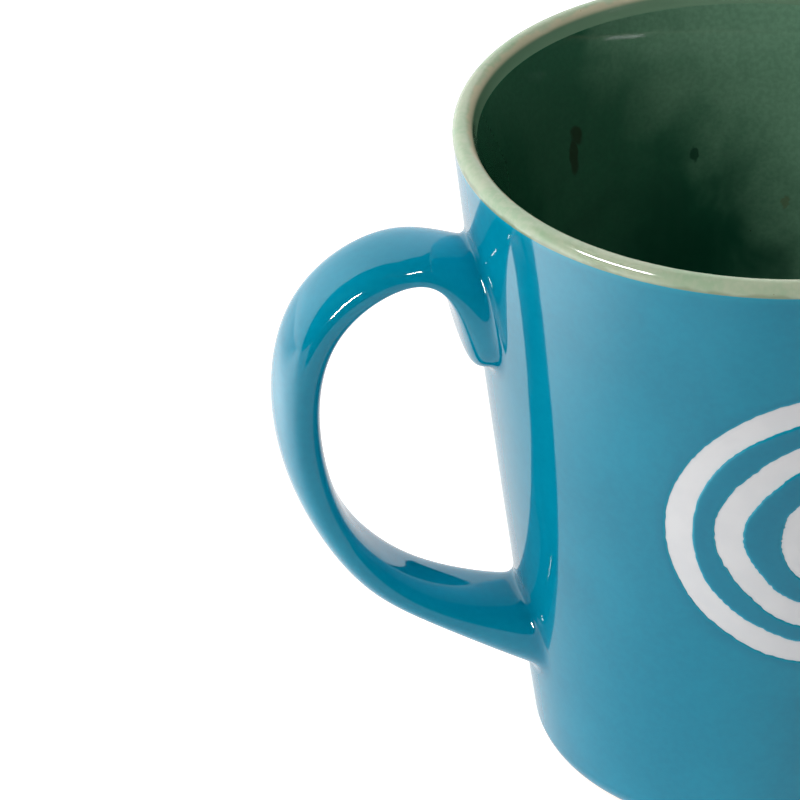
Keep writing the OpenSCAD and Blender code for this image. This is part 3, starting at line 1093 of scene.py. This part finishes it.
def build_paper():
    """A painted reflection: the paper as the glaze reflects it. It ends in front of the cup, where the room
    is dark.
    """
    front_x = np.array([-0.9, -0.55, -0.18, -0.06, 0.9])
    front_y = np.array([-0.69, -0.436, -0.175, -0.165, -0.165])
    back_y, height = 0.9, 0.0001
    y = front_y + (back_y - front_y) * np.linspace(0, 1, 9)[:, None]
    points = np.stack([np.broadcast_to(front_x, y.shape), y, np.full_like(y, height)], axis=-1).reshape(-1, 3)
    paper = staged("lit_paper", points, sheet_faces(*y.shape, wrap=False), lit_paper())
    paper.visible_camera = False
    paper.visible_diffuse = False
    paper.visible_shadow = False


def place_and_aim(thing, target, distance, azimuth, elevation):
    """Puts a thing at a distance and a direction, in degrees, from a target, facing the target."""
    turn, rise = np.radians(azimuth), np.radians(elevation)
    thing.location = Vector(target) + distance * Vector(outward(turn) * np.cos(rise) + UP * np.sin(rise))
    thing.rotation_euler = (Vector(target) - thing.location).to_track_quat("-Z", "Y").to_euler()
    bpy.context.scene.collection.objects.link(thing)


def area_light(name, azimuth, elevation, distance, size, strength, target, in_gloss_of=None):
    """A rectangular lamp: it lights the matt colours softly, or it shows only in the gloss of one piece."""
    light = bpy.data.lights.new(name, "AREA")
    light.shape = "RECTANGLE"
    light.size, light.size_y = size
    light.energy = strength * size[0] * size[1]
    lamp = bpy.data.objects.new(name, light)
    place_and_aim(lamp, target, distance, azimuth, elevation)
    lamp.visible_glossy = in_gloss_of is not None
    lamp.visible_diffuse = in_gloss_of is None
    if in_gloss_of:
        group = bpy.data.collections.new(name + "_pieces")
        group.objects.link(bpy.data.objects[in_gloss_of])
        lamp.light_linking.receiver_collection = group


def backdrop_edge(nodes, azimuth):
    """The elevation of the backdrop's upper edge at an azimuth, both in degrees."""
    node = nodes.new("FloatCurve", Value=nodes.math("DIVIDE", nodes.plus(azimuth, 180), 360))
    points = node.mapping.curves[0].points
    for count, (turn, rise) in enumerate(BACKDROP_EDGE):
        place = ((turn + 180) / 360, (rise + 90) / 180)
        if count < 2:
            points[count].location = place
        else:
            points.new(*place)
    for point in points:
        point.handle_type = "VECTOR"
    node.mapping.update()
    return nodes.minus(nodes.times(node.outputs["Value"], 180), 90)


def build_backdrop():
    """A white backdrop that stands behind and to the left, with a dark room in front of it."""
    world = bpy.data.worlds.new("studio")
    bpy.context.scene.world = world
    world.use_nodes = True
    nodes = Nodes(world.node_tree)
    parts = nodes.new("SeparateXYZ", Vector=nodes.new("TexCoord").outputs["Generated"])
    x, y, z = parts.outputs
    azimuth = nodes.math("DEGREES", nodes.math("ARCTAN2", x, nodes.times(y, -1)))
    elevation = nodes.math("DEGREES", nodes.math("ARCSINE", z))
    lit = nodes.band(nodes.minus(backdrop_edge(nodes, azimuth), elevation), -1, 1)
    # A lamp lights it from low on the left, and towards the front and the right it is darker.
    turned_away = nodes.math("COSINE", nodes.math("RADIANS", nodes.plus(azimuth, 150)))
    plain = nodes.plus(0.86, nodes.times(turned_away, 0.25))
    across = nodes.band(nodes.math("ABSOLUTE", nodes.plus(azimuth, 115)), 0, 68, 1, 0)
    low_end = nodes.band(elevation, -48, -28)
    high_end = nodes.band(elevation, -18, 8, 1, 0.45)
    bright = nodes.times(nodes.times(across, low_end), nodes.times(high_end, 2.1))
    glow = nodes.times(lit, nodes.plus(plain, bright))
    # Behind the cup the picture is white.
    white = 1.05
    seen = nodes.new("LightPath").outputs["Is Camera Ray"]
    background = nodes.tree.nodes["Background"]
    background.inputs["Color"].default_value = (1, 1, 1, 1)
    nodes.set(background.inputs["Strength"], nodes.plus(glow, nodes.times(seen, nodes.minus(white, glow))))


def build_lamps():
    area_light("window", 53, 19, 1.2, (0.16, 0.1), STRIP / 16, FAR_INSIDE, "inside_glaze")
    area_light("key", -80, 38, 1.4, (0.7, 0.7), KEY, MIDDLE)
    area_light("top", -25, 74, 1.3, (0.7, 0.7), TOP, MIDDLE)
    area_light("strip", -36.5, 18, 1.2, (0.1, 0.5), STRIP, HANDLE_TOP, "handle_skin")
    area_light("side_bar", -74, 38, 1.2, (0.55, 0.1), STRIP, HANDLE_TOP, "lip_glaze")
    area_light("overhead", 32, 73, 1.2, (0.36, 0.08), STRIP / 2, HANDLE_TOP, "handle_skin")


def build_camera():
    """A long lens from the front left, placed as a fit to the photograph found it."""
    camera = bpy.data.cameras.new("camera")
    camera.lens = 225
    camera.sensor_width = 36
    camera.clip_end = 20
    holder = bpy.data.objects.new("camera", camera)
    place_and_aim(holder, Vector((-54.57, 0, 64.32)) * MM, 728.43 * MM, azimuth=-12.152, elevation=32.035)
    bpy.context.scene.camera = holder


build_floor()
build_paper()
build_backdrop()
build_lamps()
build_camera()
bpy.context.scene.view_settings.view_transform = "Standard"
